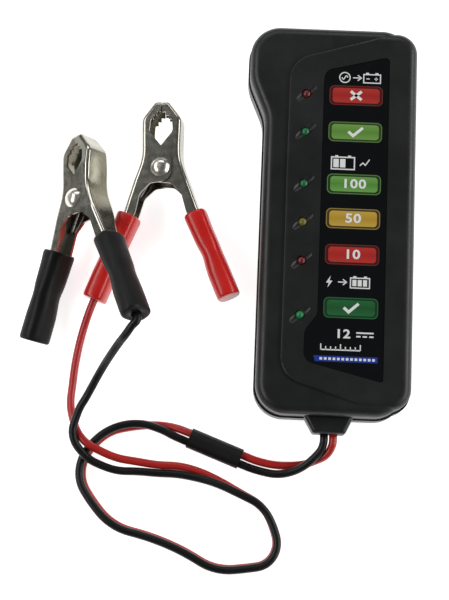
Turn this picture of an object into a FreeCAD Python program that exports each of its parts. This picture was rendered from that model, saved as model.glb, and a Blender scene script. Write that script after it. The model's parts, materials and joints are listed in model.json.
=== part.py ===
"""Twelve-volt battery and alternator tester with six indicator lamps and two clip leads.

Frame: the case lies on its back.  The origin is the middle of the back face, +X is to the
right of the front face, +Y runs up it towards its head, and +Z points out of it.
The clip leads lie on the same table as the case.  Lengths are millimetres, angles degrees.
"""
import FreeCAD, Part
import math
import os

import Sketcher
from FreeCAD import Placement, Rotation, Vector

doc = FreeCAD.newDocument("BatteryTester")


# ---------------------------------------------------------------- driving dimensions

DIMENSIONS = {
    # case
    "case_length": 131.0, "case_width": 50.6, "case_height": 20.0, "head_bulge": 5.5,
    "base_right_inset": 1.8, "case_corner": 10.0, "bulge_corner": 14.0,
    "bulge_upper_end": 47.0, "bulge_lower_end": 34.0,
    "side_block_top": 64.3, "side_block_bottom": -63.2, "side_block_corner": 7.0,
    "panel_rise": 0.8, "panel_left": -17.6, "panel_corner": 9.0, "panel_step_round": 0.6,
    "panel_upper_left": 53.4, "panel_lower_left": -53.8, "panel_upper_right": 64.3,
    "panel_lower_right": -64.2, "panel_upper_turn": 19.5, "panel_lower_turn": 16.5,
    "case_edge_round": 3.2, "back_edge_round": 2.4, "rear_rim": 0.5,
    "parting_height": 9.0, "wall": 2.0, "front_wall": 2.2,
    # cable outlet
    "outlet_left": -9.6, "outlet_right": 7.6, "outlet_tip_left": -5.9, "outlet_tip_right": 4.6,
    "outlet_end": -71.0, "outlet_half_height": 4.4, "outlet_round": 1.5,
    # label
    "label_depth": 0.6, "label_thick": 0.35, "label_gap": 0.15,
    "label_left": -5.9, "label_right": 15.7, "label_upper_left": 49.9, "label_upper_right": 55.2,
    "label_lower_right": -54.6, "label_lobe_left": -10.0, "label_lobe_top": -38.5,
    "label_lobe_bottom": -48.4,
    # lamps
    "lamp_column": -11.7, "lamp_diameter": 3.0, "lamp_flange": 3.9, "lamp_height": 5.3,
    "lamp_flange_thick": 1.0, "lamp_base_height": 15.2, "lamp_leg_pitch": 2.54,
    "lamp_leg_diameter": 0.5, "groove_ring": 11.0, "groove_tube": 1.7, "groove_depth": 0.7,
    "groove_angle": 40.0,
    # circuit board
    "board_width": 37.0, "board_length": 104.0, "board_thick": 1.6, "board_top": 13.2,
    "board_corner": 2.0, "board_shift": -2.0, "part_hole": 0.9,
    "chip_width": 6.4, "chip_length": 19.2, "chip_low": 3.8, "chip_gap": 0.5, "chip_notch": 1.8,
    "pin_width": 0.5, "pin_thick": 0.25, "pin_drop": 2.2, "pin_rise": 2.2,
    "capacitor_diameter": 5.0, "capacitor_height": 8.0, "capacitor_leg": 0.5,
    "solder_height": 0.6, "solder_foot": 2.0,
    # fasteners
    "case_screw_x": 18.6, "case_screw_y": 56.0, "case_screw_diameter": 2.9,
    "case_screw_head": 5.4, "case_screw_head_thick": 2.0, "case_screw_length": 11.5,
    "case_post_diameter": 7.0, "case_counterbore": 6.2, "case_screw_seat": 4.0,
    "board_screw_x": 15.0, "board_screw_y": 47.0, "board_screw_diameter": 2.1,
    "board_screw_head": 4.2, "board_screw_head_thick": 1.5, "board_screw_length": 5.2,
    "board_post_diameter": 5.0,
    "screw_play": 0.1,
    # leads
    "lead_diameter": 2.7, "lead_spacing": 3.0, "conductor_diameter": 1.2,
    "outlet_centre": -0.55, "lead_gap": 1.8, "lead_play": 0.2, "lead_depth": 13.0,
    "sleeve_outside": 6.8, "sleeve_bore": 6.1, "tie_width": 2.6, "tie_thick": 0.9,
    "crimp_diameter": 2.6, "crimp_length": 2.2, "bare_length": 3.2, "strip_end": -51.5,
    "conductor_y": -46.0, "tie_y": -56.1,
    # clips
    "clip_width": 10.5, "sheet": 0.8, "nest_gap": 0.1, "bend_round": 1.3,
    "rivet_diameter": 3.0, "rivet_head": 6.5, "rivet_head_height": 1.7, "rivet_play": 0.05,
    "ear_radius": 3.8, "jaw_tip": 23.1,
    "spring_radius": 2.9, "spring_wire": 1.0, "spring_height": 4.0,
    "grip_length": 30.8, "grip_width": 7.8, "grip_depth": 11.0, "grip_slope": 22.4,
    "grip_top_u": 11.2, "grip_top_v": -15.4, "grip_pocket_depth": 15.5,
    "grip_pocket_width": 5.4, "grip_pocket_height": 8.0, "grip_end_round": 1.2,
    "red_clip_x": -58.97, "red_clip_y": 15.93, "red_clip_z": 9.4,
    "red_clip_turn": 1.8, "red_clip_tilt": -8.7, "red_clip_pitch": 0.6,
    "black_clip_x": -84.6, "black_clip_y": 2.9, "black_clip_z": 13.85,
    "black_clip_turn": 9.4, "black_clip_tilt": -38.0, "black_clip_pitch": -9.0,
}

sheet = doc.addObject("Spreadsheet::Sheet", "Sizes")
for row, (alias, number) in enumerate(DIMENSIONS.items(), start=1):
    sheet.set(f"A{row}", alias)
    sheet.set(f"B{row}", str(number))
    sheet.setAlias(f"B{row}", alias)
doc.recompute()


class Size:
    """A number together with the spreadsheet formula that it comes from."""

    def __init__(self, value, formula=None):
        self.value = float(value)
        self.formula = formula or f"{float(value)}"

    def __add__(self, other):
        other = sized(other)
        return Size(self.value + other.value, f"({self.formula} + {other.formula})")

    def __sub__(self, other):
        other = sized(other)
        return Size(self.value - other.value, f"({self.formula} - {other.formula})")

    def __mul__(self, other):
        other = sized(other)
        return Size(self.value * other.value, f"({self.formula} * {other.formula})")

    def __truediv__(self, other):
        other = sized(other)
        return Size(self.value / other.value, f"({self.formula} / {other.formula})")

    def __radd__(self, other):
        return sized(other) + self

    def __rsub__(self, other):
        return sized(other) - self

    def __rmul__(self, other):
        return sized(other) * self

    def __neg__(self):
        return self * -1


def sized(number):
    return number if isinstance(number, Size) else Size(number)


def dim(alias):
    return Size(sheet.get(alias), f"Sizes.{alias}")


def bind(thing, **sizes):
    for prop, number in sizes.items():
        thing.setExpression(prop, sized(number).formula)
    return thing


def put(thing, x=0, y=0, z=0, rotation=None):
    """Give a primitive a place that follows the sheet."""
    if rotation is not None:
        thing.Placement = Placement(Vector(), rotation)
    for axis, number in zip("xyz", (x, y, z)):
        thing.setExpression(f"Placement.Base.{axis}", sized(number).formula)
    return thing


# ---------------------------------------------------------------- sketches and features

def add_outline(sketch, corners):
    """Draw a closed outline through corners given as (x, y, radius), all bound to the sheet."""
    corners = [tuple(sized(number) for number in corner) for corner in corners]
    points = [Vector(corner[0].value, corner[1].value, 0) for corner in corners]
    count = len(corners)
    starts, ends, arcs = [], [], {}
    for index, point in enumerate(points):
        back = (points[index - 1] - point).normalize()
        ahead = (points[(index + 1) % count] - point).normalize()
        radius = corners[index][2].value
        starts.append(point)
        ends.append(point)
        if radius > 0:
            half_angle = back.getAngle(ahead) / 2
            starts[index] = point + back * (radius / math.tan(half_angle))
            ends[index] = point + ahead * (radius / math.tan(half_angle))
            middle = point + (back + ahead).normalize() * (radius / math.sin(half_angle))
            arcs[index] = (middle, back.cross(ahead).z > 0)
    first = sketch.GeometryCount
    sketch.addGeometry([Part.LineSegment(ends[index], starts[(index + 1) % count])
                        for index in range(count)], False)
    rules, formulas = [], []

    def rule(*words, size=None):
        values = words if size is None else words + (size.value,)
        rules.append(Sketcher.Constraint(*values))
        formulas.append(None if size is None else size.formula)

    for index in range(count):
        before = first + (index - 1) % count
        after = first + index
        anchor = after
        if index in arcs:
            middle, clockwise = arcs[index]
            angles = [math.atan2(end.y - middle.y, end.x - middle.x)
                      for end in (starts[index], ends[index])]
            if clockwise:
                angles.reverse()
            circle = Part.Circle(middle, Vector(0, 0, 1), corners[index][2].value)
            arc = sketch.addGeometry(Part.ArcOfCircle(circle, *angles), False)
            anchor = sketch.addGeometry(Part.Point(points[index]), True)
            rule("Tangent", before, 2, arc, 2 if clockwise else 1)
            rule("Tangent", arc, 1 if clockwise else 2, after, 1)
            rule("Radius", arc, size=corners[index][2])
            rule("PointOnObject", anchor, 1, before)
            rule("PointOnObject", anchor, 1, after)
        else:
            rule("Coincident", before, 2, after, 1)
        for kind, axis, size in (("DistanceX", -2, corners[index][0]),
                                 ("DistanceY", -1, corners[index][1])):
            if size.value == 0:
                rule("PointOnObject", anchor, 1, axis)
            else:
                rule(kind, -1, 1, anchor, 1, size=size)
    start = sketch.ConstraintCount
    sketch.addConstraint(rules)
    for number, formula in enumerate(formulas, start=start):
        if formula is not None:
            sketch.setExpression(f"Constraints[{number}]", formula)


def add_circle(sketch, x, y, diameter):
    """Draw a circle whose centre and diameter follow the sheet."""
    x, y, diameter = sized(x), sized(y), sized(diameter)
    circle = Part.Circle(Vector(x.value, y.value, 0), Vector(0, 0, 1), diameter.value / 2)
    number = sketch.addGeometry(circle, False)
    for kind, axis, size in (("DistanceX", -2, x), ("DistanceY", -1, y)):
        if size.value == 0:
            sketch.addConstraint(Sketcher.Constraint("PointOnObject", number, 3, axis))
        else:
            place = sketch.addConstraint(Sketcher.Constraint(kind, -1, 1, number, 3, size.value))
            sketch.setExpression(f"Constraints[{place}]", size.formula)
    width = sketch.addConstraint(Sketcher.Constraint("Diameter", number, diameter.value))
    sketch.setExpression(f"Constraints[{width}]", diameter.formula)


def new_body(name):
    return doc.addObject("PartDesign::Body", name)


def sketch_in(body, name, height=0, role="XY_Plane"):
    """A sketch on one of the body's origin planes, lifted by height along its normal."""
    sketch = body.newObject("Sketcher::SketchObject", name)
    plane = [item for item in body.Origin.OriginFeatures if item.Role == role][0]
    sketch.AttachmentSupport = [(plane, "")]
    sketch.MapMode = "FlatFace"
    sketch.setExpression("AttachmentOffset.Base.z", sized(height).formula)
    return sketch


def pad(body, name, corners, low, high, role="XY_Plane"):
    sketch = sketch_in(body, f"{name}_sketch", low, role)
    add_outline(sketch, corners)
    feature = body.newObject("PartDesign::Pad", name)
    feature.Profile = sketch
    return bind(feature, Length=sized(high) - low)


def pocket(body, name, sketch, depth, upwards=False):
    feature = body.newObject("PartDesign::Pocket", name)
    feature.Profile = sketch
    feature.Reversed = upwards
    return bind(feature, Length=depth)


def round_face(body, name, base, height, radius):
    """Round every edge of the flat face that lies at the given height."""
    doc.recompute()
    faces = [f"Face{number}" for number, face in enumerate(base.Shape.Faces, start=1)
             if abs(face.BoundBox.ZMin - height.value) + abs(face.BoundBox.ZMax - height.value) < 1e-6]
    feature = body.newObject("PartDesign::Fillet", name)
    feature.Base = (base, faces)
    return bind(feature, Radius=radius)


def revolved(name, corners):
    """A solid of revolution about its own Z axis, from a half outline (radius, height)."""
    body = new_body(name)
    sketch = sketch_in(body, f"{name}_profile", 0, "XZ_Plane")
    add_outline(sketch, corners)
    feature = body.newObject("PartDesign::Revolution", f"{name}_turn")
    feature.Profile = sketch
    feature.ReferenceAxis = (sketch, ["V_Axis"])
    return body


def cylinder(name, diameter, length, x=0, y=0, z=0, rotation=None):
    solid = doc.addObject("Part::Cylinder", name)
    bind(solid, Radius=sized(diameter) / 2, Height=length)
    return put(solid, x, y, z, rotation)


def box(name, low, high):
    """A box between two corners."""
    solid = doc.addObject("Part::Box", name)
    spans = [sized(top) - bottom for bottom, top in zip(low, high)]
    bind(solid, Length=spans[0], Width=spans[1], Height=spans[2])
    return put(solid, *low)


def fuse(name, *solids):
    joined = doc.addObject("Part::MultiFuse", name)
    joined.Shapes = list(solids)
    return joined


def cut(name, base, *tools):
    result = doc.addObject("Part::Cut", name)
    result.Base = base
    result.Tool = tools[0] if len(tools) == 1 else fuse(f"{name}_tools", *tools)
    return result


def common(name, *solids):
    result = doc.addObject("Part::MultiCommon", name)
    result.Shapes = list(solids)
    return result


def copies(name, original, places):
    """One node that holds the same solid at several places."""
    links = []
    for number, place in enumerate(places, start=1):
        link = doc.addObject("App::Link", f"{name}_{number}")
        link.LinkedObject = original
        link.Placement = place
        links.append(link)
    group = doc.addObject("Part::Compound", name)
    group.Links = links
    return group


def at(x, y, z, rotation=None):
    return Placement(Vector(x, y, z), rotation or Rotation())


nodes = []


def node(solid, label):
    solid.Label = label
    nodes.append(solid)
    return solid


# ---------------------------------------------------------------- case

ALONG_Y = Rotation(Vector(1, 0, 0), -90)
LEFT = -dim("case_width") / 2
RIGHT = dim("case_width") / 2
END = dim("case_length") / 2
TOP = dim("case_height")
PARTING = dim("parting_height")
INNER_TOP = TOP - dim("front_wall")
# how far past the case, as a share of its size, a cutting outline runs
FAR = 1.2


def case_corners(grow, corner):
    """Outline of the case's main block, grown outwards on every side."""
    head = LEFT - dim("head_bulge") - grow
    right = RIGHT - dim("base_right_inset") + grow
    return [(head, END + grow, corner),
            (head, dim("bulge_upper_end"), dim("bulge_corner")),
            (LEFT - grow, dim("bulge_lower_end"), dim("bulge_corner")),
            (LEFT - grow, -END - grow, corner),
            (right, -END - grow, corner),
            (right, END + grow, corner)]


def side_corners(grow):
    """Outline of the shorter block that stands out on the right of the case."""
    left = dim("panel_left") - 2
    right = RIGHT + grow
    low, high = dim("side_block_bottom") - grow, dim("side_block_top") + grow
    corner = dim("side_block_corner")
    return [(left, high, corner), (left, low, corner), (right, low, corner), (right, high, corner)]


def cavity_corners():
    wall = dim("wall")
    head = LEFT - dim("head_bulge") + wall
    corner = dim("case_corner") - wall
    return [(head, END - wall, corner),
            (head, dim("bulge_upper_end"), dim("bulge_corner")),
            (LEFT + wall, dim("bulge_lower_end"), dim("bulge_corner")),
            (LEFT + wall, -END + wall * 1.25, corner),
            (RIGHT - wall, -END + wall * 1.25, dim("side_block_corner")),
            (RIGHT - wall, END - wall * 1.5, dim("side_block_corner"))]


def outlet_corners():
    """Tapered boss that the leads leave through."""
    root = -END + 1
    return [(dim("outlet_left"), root, 0), (dim("outlet_tip_left"), dim("outlet_end"), 1.2),
            (dim("outlet_tip_right"), dim("outlet_end"), 1.2), (dim("outlet_right"), root, 0)]


def panel_corners():
    """Outline of the raised front panel; its right side runs out past the case."""
    left = dim("panel_left")
    corner = dim("panel_corner")
    upper, lower = dim("panel_upper_turn"), dim("panel_lower_turn")
    return [(upper, dim("panel_upper_right"), 2), (left, dim("panel_upper_left"), corner),
            (left, dim("panel_lower_left"), corner), (lower, dim("panel_lower_right"), 2),
            (RIGHT, END * -FAR, 0), (RIGHT * FAR, END * -FAR, 0), (RIGHT * FAR, END * FAR, 0),
            (RIGHT, END * FAR, 0)]


def outlet_bore():
    """Side-by-side holes for the two leads, joined into one slot."""
    bore = dim("lead_diameter") + dim("lead_play") * 2
    length = 10
    parts = [cylinder(f"outlet_bore_{name}", bore, length, dim("outlet_centre") + offset,
                      dim("outlet_end") - 1, PARTING, ALONG_Y)
             for name, offset in (("black", -dim("lead_spacing") / 2),
                                  ("red", dim("lead_spacing") / 2))]
    half = dim("lead_spacing") / 2
    web = box("outlet_bore_web", (dim("outlet_centre") - half, dim("outlet_end") - 1, PARTING - bore / 2),
              (dim("outlet_centre") + half, dim("outlet_end") + length - 1, PARTING + bore / 2))
    return fuse("outlet_bore", *parts, web)


# ribs across the rear cover that hold the leads
SADDLES = (-61.0, -55.5)
SADDLE_THICK = 1.6
SADDLE_HALF = 6.0
CASE_SCREWS = [(side, end) for side in (-1, 1) for end in (-1, 1)]
# the six lamps run down the left of the label
LAMPS = [("led_alternator_fault", 41.6), ("led_alternator_good", 28.5),
         ("led_battery_full", 10.7), ("led_battery_middle", -2.3),
         ("led_battery_low", -15.3), ("led_ready", -33.3)]
BOARD_TOP = dim("board_top")
BOARD_BOTTOM = BOARD_TOP - dim("board_thick")


def case_screw_spot(side, end):
    return dim("case_screw_x") * side, dim("case_screw_y") * end


def board_screw_spot(side, end):
    return dim("board_screw_x") * side + dim("board_shift"), dim("board_screw_y") * end


def front_cover():
    base_top = TOP - dim("panel_rise")
    base_body = new_body("front_base")
    base = pad(base_body, "front_base_pad", case_corners(0, dim("case_corner")), PARTING, base_top)
    round_face(base_body, "front_base_round", base, base_top, dim("case_edge_round"))

    side_body = new_body("front_side")
    side = pad(side_body, "front_side_pad", side_corners(0), PARTING, TOP)
    round_face(side_body, "front_side_round", side, TOP, dim("case_edge_round"))

    panel_body = new_body("front_panel")
    panel = pad(panel_body, "front_panel_pad", panel_corners(), PARTING, TOP)
    round_face(panel_body, "front_panel_round", panel, TOP, dim("panel_step_round"))

    outlet_body = new_body("front_outlet")
    outlet_top = PARTING + dim("outlet_half_height")
    outlet = pad(outlet_body, "front_outlet_pad", outlet_corners(), PARTING, outlet_top)
    round_face(outlet_body, "front_outlet_round", outlet, outlet_top, dim("outlet_round"))

    outer = fuse("front_outer", base_body, common("front_raised", side_body, panel_body), outlet_body)

    cavity = new_body("front_cavity")
    pad(cavity, "front_cavity_pad", cavity_corners(), PARTING - 1, INNER_TOP)
    recess = new_body("label_recess")
    pad(recess, "label_recess_pad", label_corners(dim("label_gap")), TOP - dim("label_depth"), TOP + 1)
    shell = cut("front_shell", outer, cavity, recess)

    posts, holes = [], []
    for number, (side, end) in enumerate(CASE_SCREWS, start=1):
        x, y = case_screw_spot(side, end)
        posts.append(cylinder(f"front_post_{number}", dim("case_post_diameter"),
                              INNER_TOP - PARTING + 0.5, x, y, PARTING))
        holes.append(cylinder(f"front_pilot_{number}", dim("case_screw_diameter") + dim("screw_play"),
                              8, x, y, PARTING - 1))
        x, y = board_screw_spot(side, end)
        posts.append(cylinder(f"board_post_{number}", dim("board_post_diameter"),
                              INNER_TOP - BOARD_TOP + 0.5, x, y, BOARD_TOP))
        holes.append(cylinder(f"board_pilot_{number}", dim("board_screw_diameter") + dim("screw_play"),
                              4.3, x, y, BOARD_TOP - 0.3))
    for name, y in LAMPS:
        holes.append(cylinder(f"{name}_hole", dim("lamp_diameter") + 0.16, 8,
                              dim("lamp_column"), y, INNER_TOP - 2))
        holes.append(lamp_groove(f"{name}_groove", y))
    holes.append(outlet_bore())
    node(cut("front_cover", fuse("front_with_posts", shell, *posts), *holes), "front_cover")


def lamp_groove(name, y):
    """A canoe-shaped groove across the lamp: the bottom of a large standing ring."""
    ring = doc.addObject("Part::Torus", name)
    bind(ring, Radius1=dim("groove_ring"), Radius2=dim("groove_tube"))
    stand = Rotation(Vector(0, 0, 1), dim("groove_angle").value) * Rotation(Vector(1, 0, 0), 90)
    lift = TOP - dim("groove_depth") + dim("groove_ring") + dim("groove_tube")
    return put(ring, dim("lamp_column"), y, lift, stand)


def rear_cover():
    rim = dim("rear_rim")
    base_body = new_body("rear_base")
    base = pad(base_body, "rear_base_pad", case_corners(rim, dim("case_corner")), 0, PARTING)
    round_face(base_body, "rear_base_round", base, sized(0), dim("back_edge_round"))
    side_body = new_body("rear_side")
    side = pad(side_body, "rear_side_pad", side_corners(rim), 0, PARTING)
    round_face(side_body, "rear_side_round", side, sized(0), dim("back_edge_round"))
    outlet_body = new_body("rear_outlet")
    outlet_low = PARTING - dim("outlet_half_height")
    outlet = pad(outlet_body, "rear_outlet_pad", outlet_corners(), outlet_low, PARTING)
    round_face(outlet_body, "rear_outlet_round", outlet, outlet_low, dim("outlet_round"))
    outer = fuse("rear_outer", base_body, side_body, outlet_body)
    cavity = new_body("rear_cavity")
    pad(cavity, "rear_cavity_pad", cavity_corners(), dim("wall"), PARTING + 1)
    shell = cut("rear_shell", outer, cavity)
    posts, holes = [], []
    for number, (side, end) in enumerate(CASE_SCREWS, start=1):
        x, y = case_screw_spot(side, end)
        posts.append(cylinder(f"rear_post_{number}", dim("case_counterbore") + 2.2,
                              PARTING - 1, x, y, 1))
        holes.append(cylinder(f"rear_counterbore_{number}", dim("case_counterbore"),
                              dim("case_screw_seat") + 1, x, y, -1))
        holes.append(cylinder(f"rear_clearance_{number}", dim("case_screw_diameter") + 0.4,
                              PARTING + 1, x, y, 0))
    for number, y in enumerate(SADDLES, start=1):
        posts.append(box(f"lead_saddle_{number}", (dim("outlet_centre") - SADDLE_HALF, y, 1),
                         (dim("outlet_centre") + SADDLE_HALF, y + SADDLE_THICK, PARTING)))
    holes.append(outlet_bore_low())
    node(cut("rear_cover", fuse("rear_with_posts", shell, *posts), *holes), "rear_cover")


def outlet_bore_low():
    """The lower half of the lead slot, cut through the end wall and the two saddles."""
    reach = dim("lead_diameter") / 2 + dim("lead_play")
    half = dim("lead_spacing") / 2 + reach
    return box("outlet_slot", (dim("outlet_centre") - half, dim("outlet_end") - 1, PARTING - reach),
               (dim("outlet_centre") + half, SADDLES[-1] + SADDLE_THICK + 1, PARTING + 1))


def label_corners(grow):
    """Outline of the printed label: slanted ends, with a lobe at the lower left."""
    left = dim("label_left") - grow
    right = dim("label_right") + grow
    lobe = dim("label_lobe_left") - grow
    top = dim("label_upper_left")
    return [(right, dim("label_upper_right") + grow, 1.5), (left + 0.9, top + grow, 3),
            (left, top - 2.9, 4), (left, dim("label_lobe_top") + 5.5, 3),
            (lobe, dim("label_lobe_top"), 5), (lobe, dim("label_lobe_bottom"), 4),
            (right, dim("label_lower_right") - grow, 1)]


def faceplate_label():
    body = node(new_body("faceplate_label"), "faceplate_label")
    low = TOP - dim("label_depth")
    pad(body, "label_pad", label_corners(0), low, low + dim("label_thick"))


# ---------------------------------------------------------------- lamps and electronics

CHIP_SPOTS = [(6.0, 22.0), (6.0, -8.0)]
RESISTOR_SPOTS = [(-4.0, y) for y in (38, 30, 8, 0, -16, -24)] + [(9.0, 10), (9.0, 6)]
LEG_PITCH = 10.16
PIN_PITCH = 2.54
PIN_ROW = 3.81


def lamps():
    flange = dim("lamp_flange") / 2
    radius = dim("lamp_diameter") / 2
    tall = dim("lamp_height")
    for name, y in LAMPS:
        lamp = node(revolved(name, [(0, 0, 0), (flange, 0, 0), (flange, dim("lamp_flange_thick"), 0),
                                    (radius, dim("lamp_flange_thick"), 0),
                                    (radius, tall, radius - 0.05), (0, tall, 0)]), name)
        put(lamp, dim("lamp_column"), y, dim("lamp_base_height"))
    leg_foot = BOARD_BOTTOM - dim("solder_height")
    leg = cylinder("lamp_leg", dim("lamp_leg_diameter"), dim("lamp_base_height") - leg_foot)
    feet = [at(x, y, leg_foot.value) for x, y in leg_spots()]
    node(copies("led_legs", leg, feet), "led_legs")
    cone = doc.addObject("Part::Cone", "solder_cone")
    bore = dim("lamp_leg_diameter") + 0.04
    bind(cone, Radius1=bore / 2 + 0.18, Radius2=dim("solder_foot") / 2, Height=dim("solder_height"))
    drop = cut("solder_drop", cone, cylinder("solder_bore", bore, 2, 0, 0, -0.5))
    node(copies("solder_joints", drop, feet), "solder_joints")


def leg_spots():
    column = dim("lamp_column").value
    half = dim("lamp_leg_pitch").value / 2
    return [(column + side * half, y) for _, y in LAMPS for side in (-1, 1)]


def conductor_spots():
    middle, half = dim("outlet_centre").value, dim("lead_spacing").value / 2
    return [(middle + side * half, dim("conductor_y").value) for side in (-1, 1)]


def circuit_board():
    body = node(new_body("circuit_board"), "circuit_board")
    half_width, half_length = dim("board_width") / 2, dim("board_length") / 2
    middle, corner = dim("board_shift"), dim("board_corner")
    pad(body, "board_pad", [(middle - half_width, -half_length, corner),
                            (middle + half_width, -half_length, corner),
                            (middle + half_width, half_length, corner),
                            (middle - half_width, half_length, corner)], BOARD_BOTTOM, BOARD_TOP)
    drill = sketch_in(body, "board_drill_sketch", BOARD_TOP)
    for side, end in CASE_SCREWS:
        x, y = board_screw_spot(side, end)
        add_circle(drill, x, y, dim("board_screw_diameter") + 0.3)
    for x, y in leg_spots():
        add_circle(drill, x, y, dim("part_hole"))
    for x, y in conductor_spots():
        add_circle(drill, x, y, dim("conductor_diameter") + 0.3)
    for chip_x, chip_y in CHIP_SPOTS:
        for side in (-1, 1):
            for pin in range(7):
                add_circle(drill, chip_x + side * PIN_ROW, chip_y + (pin - 3) * PIN_PITCH,
                           dim("part_hole"))
    for x, y in RESISTOR_SPOTS:
        for side in (-1, 1):
            add_circle(drill, x + side * LEG_PITCH / 2, y, dim("part_hole"))
    for x, y in DIODE_HOLES + CAPACITOR_HOLES:
        add_circle(drill, x, y, dim("part_hole") + 0.1)
    pocket(body, "board_drill", drill, dim("board_thick") + 1)


REFERENCE_SPOT = (9.5, -24.0)
POLARITY_SPOT = (6.0, -34.0)
CAPACITOR_SPOT = (-10.0, -42.5)
CAPACITOR_PITCH = 2.5
DIODE_HOLES = [(x + side * LEG_PITCH / 2, y) for x, y in (REFERENCE_SPOT, POLARITY_SPOT)
               for side in (-1, 1)]
CAPACITOR_HOLES = [(CAPACITOR_SPOT[0] + side * CAPACITOR_PITCH / 2, CAPACITOR_SPOT[1])
                   for side in (-1, 1)]
ALONG_X = Rotation(Vector(0, 1, 0), 90)


def axial_part(name, diameter, length, wire):
    """A through-hole part lying along X under the board, with both legs bent up into it."""
    drop = sized(diameter) / 2 + 0.5
    pieces = [cylinder(f"{name}_core", diameter, length, -length / 2, 0, -drop, ALONG_X),
              cylinder(f"{name}_wire", wire, LEG_PITCH, -LEG_PITCH / 2, 0, -drop, ALONG_X)]
    for side, word in ((-1, "left"), (1, "right")):
        pieces.append(cylinder(f"{name}_{word}_leg", wire, drop + 2, side * LEG_PITCH / 2, 0, -drop))
        bend = doc.addObject("Part::Sphere", f"{name}_{word}_bend")
        bind(bend, Radius=wire / 2)
        pieces.append(put(bend, side * LEG_PITCH / 2, 0, -drop))
    return fuse(name, *pieces)


def electronics():
    under = BOARD_BOTTOM.value
    chip_body = new_body("chip_body")
    half_width, half_length = dim("chip_width") / 2, dim("chip_length") / 2
    pad(chip_body, "chip_pad", [(-half_width, -half_length, 0.3), (half_width, -half_length, 0.3),
                                (half_width, half_length, 0.3), (-half_width, half_length, 0.3)],
        -dim("chip_low"), -dim("chip_gap"))
    notch = sketch_in(chip_body, "chip_notch_sketch", -dim("chip_low"))
    add_circle(notch, 0, half_length, dim("chip_notch"))
    pocket(chip_body, "chip_notch", notch, 0.8, upwards=True)
    node(copies("comparator_chips", chip_body, [at(x, y, under) for x, y in CHIP_SPOTS]),
         "comparator_chips")
    half_pin, half_sheet = dim("pin_width") / 2, dim("pin_thick") / 2
    drop = dim("pin_drop")
    # the shoulder ends just short of the chip's flank
    shoulder = box("pin_shoulder", (half_width - PIN_ROW + 0.01, -half_pin, -drop),
                   (half_sheet, half_pin, -drop + dim("pin_thick") * 1.2))
    leg = box("pin_leg", (-half_sheet, -half_pin, -drop), (half_sheet, half_pin, dim("pin_rise")))
    pin = fuse("chip_pin", shoulder, leg)
    half_turn = Rotation(Vector(0, 0, 1), 180)
    places = [at(x + side * PIN_ROW, y + (number - 3) * PIN_PITCH, under,
                 Rotation() if side > 0 else half_turn)
              for x, y in CHIP_SPOTS for side in (-1, 1) for number in range(7)]
    node(copies("chip_pins", pin, places), "chip_pins")
    resistor = axial_part("resistor", 2.3, 6.3, 0.55)
    node(copies("resistors", resistor, [at(x, y, under) for x, y in RESISTOR_SPOTS]), "resistors")
    reference = node(axial_part("reference_diode", 1.8, 3.9, 0.5), "reference_diode")
    reference.Placement = at(*REFERENCE_SPOT, under)
    polarity = node(axial_part("polarity_diode", 2.7, 5.2, 0.7), "polarity_diode")
    polarity.Placement = at(*POLARITY_SPOT, under)
    radius, tall = dim("capacitor_diameter") / 2, dim("capacitor_height")
    gap = sized(0.4)
    can = revolved("capacitor_can", [(0, -tall, 0), (radius, -tall, 0.5), (radius, -gap, 0.5),
                                     (0, -gap, 0)])
    legs = [cylinder(f"capacitor_leg_{word}", dim("capacitor_leg"), 3,
                     side * CAPACITOR_PITCH / 2, 0, -1)
            for word, side in (("left", -1), ("right", 1))]
    capacitor = node(fuse("filter_capacitor", can, *legs), "filter_capacitor")
    capacitor.Placement = at(*CAPACITOR_SPOT, under)


def screws():
    def screw(name, diameter, head, head_thick, length):
        """Pan-head screw, head down, with a cross recess and a pointed end."""
        turned = revolved(f"{name}_turned",
                          [(0, -head_thick, 0), (head / 2, -head_thick, 0.7), (head / 2, 0, 0),
                           (diameter / 2, 0, 0), (diameter / 2, length - 1.2, 0), (0.3, length, 0),
                           (0, length, 0)])
        arms = [box(f"{name}_cross_{number}", (-long / 2, -wide / 2, -head_thick - 1),
                    (long / 2, wide / 2, -head_thick + 1))
                for number, (long, wide) in enumerate(((2.6, 0.6), (0.6, 2.6)), start=1)]
        return cut(name, turned, *arms)

    case_screw = screw("case_screw", dim("case_screw_diameter"), dim("case_screw_head"),
                       dim("case_screw_head_thick"), dim("case_screw_length"))
    seat = dim("case_screw_seat").value
    spots = [case_screw_spot(side, end) for side, end in CASE_SCREWS]
    node(copies("case_screws", case_screw, [at(x.value, y.value, seat) for x, y in spots]),
         "case_screws")
    board_screw = screw("board_screw", dim("board_screw_diameter"), dim("board_screw_head"),
                        dim("board_screw_head_thick"), dim("board_screw_length"))
    spots = [board_screw_spot(side, end) for side, end in CASE_SCREWS]
    node(copies("board_screws", board_screw,
                [at(x.value, y.value, BOARD_BOTTOM.value) for x, y in spots]), "board_screws")


def stadium(half_span, radius):
    """Corners of a slot shape that is long in X."""
    reach = sized(half_span) + radius
    tight = sized(radius) - 0.01
    return [(-reach, -sized(radius), tight), (reach, -sized(radius), tight),
            (reach, radius, tight), (-reach, radius, tight)]


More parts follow.
